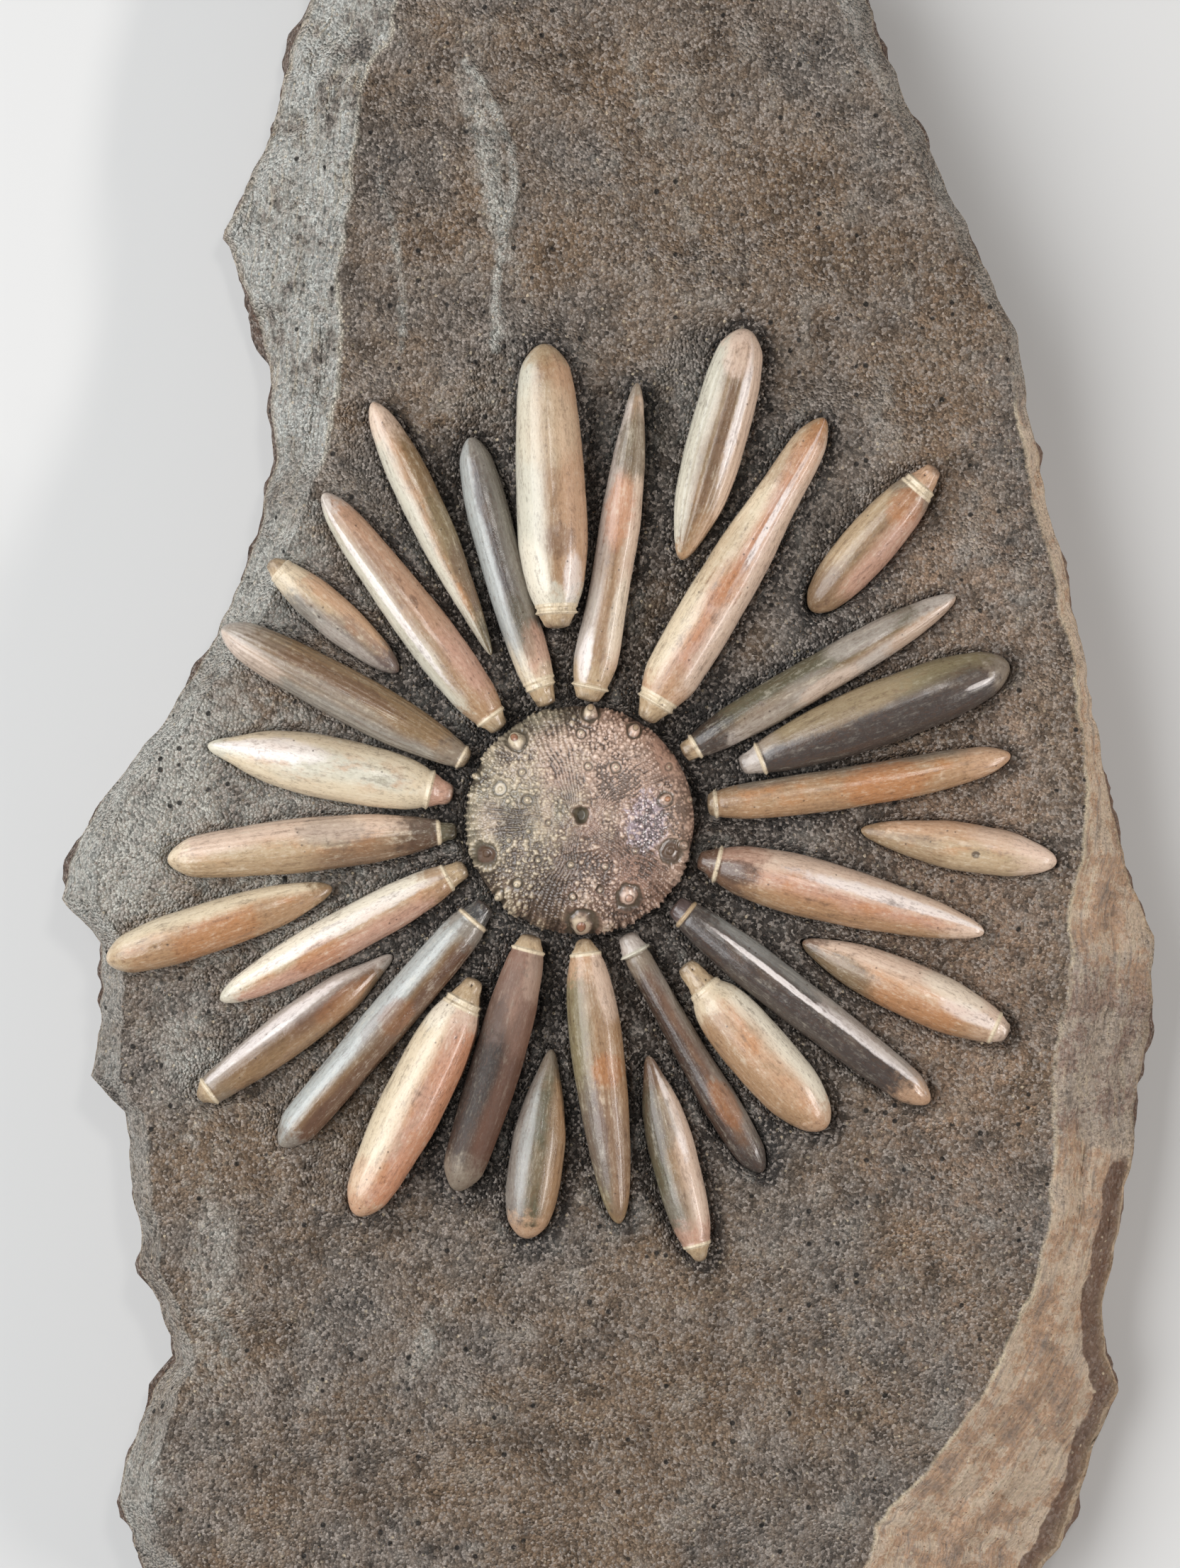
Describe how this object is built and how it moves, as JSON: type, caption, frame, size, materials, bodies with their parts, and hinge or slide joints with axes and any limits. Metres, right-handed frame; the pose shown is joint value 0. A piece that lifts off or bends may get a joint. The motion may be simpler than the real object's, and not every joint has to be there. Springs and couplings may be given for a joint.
{
  "type": "fossil sea urchin",
  "caption": "Fossil sea urchin with its club-shaped spines spread round it, set in a flat slab of weathered sandy stone that lies on its flat back.",
  "frame": {"origin": "on the slab's flat underside, straight below the middle of the test", "axes": "+X across the slab, +Y along its length towards the narrower end, +Z out of the face that carries the fossil"},
  "size_m": [0.1885, 0.3175, 0.036],
  "materials": {
    "matrix": "dull sandy stone, grey-brown with pale and black grains",
    "test": "half-gloss fossil shell, grey-tan with brown and purple-grey patches",
    "spine_cream": "glossy varnished fossil calcite, mainly cream",
    "spine_tan": "glossy varnished fossil calcite, mainly tan",
    "spine_pink": "glossy varnished fossil calcite, mainly pink",
    "spine_orange": "glossy varnished fossil calcite, mainly orange",
    "spine_olive": "glossy varnished fossil calcite, mainly olive",
    "spine_brown": "glossy varnished fossil calcite, mainly brown",
    "spine_mauve": "glossy varnished fossil calcite, mainly mauve"
  },
  "bodies": {
    "root": {"matrix_slab": "matrix", "urchin_test": "test", "spine_01": "spine_tan", "spine_02": "spine_pink", "spine_03": "spine_cream", "spine_04": "spine_tan", "spine_05": "spine_orange", "spine_06": "spine_olive", "spine_07": "spine_mauve", "spine_08": "spine_tan", "spine_09": "spine_cream", "spine_10": "spine_orange", "spine_11": "spine_tan", "spine_12": "spine_brown", "spine_13": "spine_cream", "spine_14": "spine_olive", "spine_15": "spine_olive", "spine_16": "spine_olive", "spine_17": "spine_mauve", "spine_18": "spine_brown", "spine_19": "spine_orange", "spine_20": "spine_mauve", "spine_21": "spine_cream", "spine_22": "spine_orange", "spine_23": "spine_orange", "spine_24": "spine_tan", "spine_25": "spine_cream", "spine_26": "spine_tan", "spine_27": "spine_pink", "spine_28": "spine_cream", "spine_29": "spine_orange", "spine_30": "spine_olive"}
  },
  "joints": []
}
